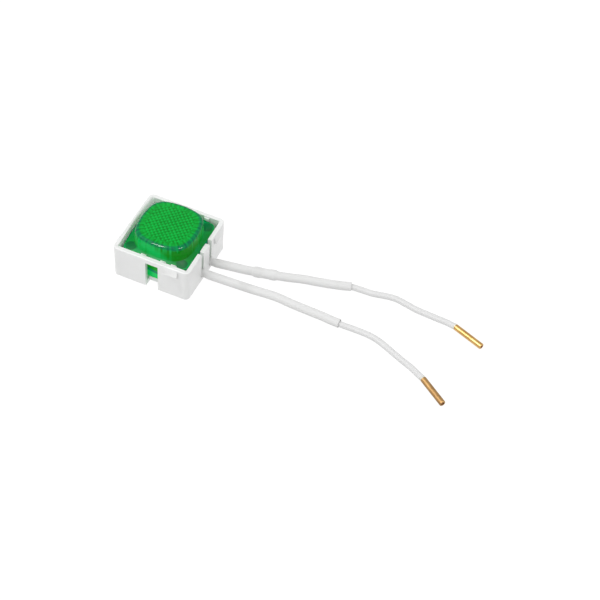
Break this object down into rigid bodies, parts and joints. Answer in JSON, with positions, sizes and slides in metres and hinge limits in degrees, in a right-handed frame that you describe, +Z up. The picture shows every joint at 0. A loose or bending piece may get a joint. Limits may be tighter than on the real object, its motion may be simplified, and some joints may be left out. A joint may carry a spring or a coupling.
{
  "type": "panel pilot light",
  "caption": "Square snap-in neon pilot light with a green prismatic lens and two sleeved leads that end in ferrules.",
  "frame": {"origin": "centre of the housing's base", "axes": "+Z up through the lens, +X towards the wall that the leads leave"},
  "size_m": [0.0971, 0.0285, 0.0137],
  "materials": {
    "white_plastic": "moulded white plastic, slightly glossy",
    "green_lens": "translucent green plastic, polished",
    "lamp_glass": "clear glass",
    "nickel": "bare nickel wire",
    "resistor_paint": "beige lacquer",
    "tinned_wire": "tinned copper wire",
    "solder": "soft solder",
    "sleeving": "white woven or moulded sleeving, matt",
    "insulation": "white PVC insulation",
    "brass": "bare brass"
  },
  "bodies": {
    "root": {"housing": "white_plastic", "lens": "green_lens", "lamp_glass": "lamp_glass", "lamp_electrode_a": "nickel", "lamp_electrode_b": "nickel", "lamp_wire_a": "tinned_wire", "lamp_wire_b": "tinned_wire", "resistor_body": "resistor_paint", "resistor_wire_a": "tinned_wire", "resistor_wire_b": "tinned_wire", "solder_joint_lamp": "solder", "solder_joint_rear": "solder", "solder_joint_front": "solder", "sleeve_rear": "sleeving", "sleeve_front": "sleeving", "wire_rear": "insulation", "wire_front": "insulation", "pin_rear": "brass", "pin_front": "brass"}
  },
  "joints": []
}
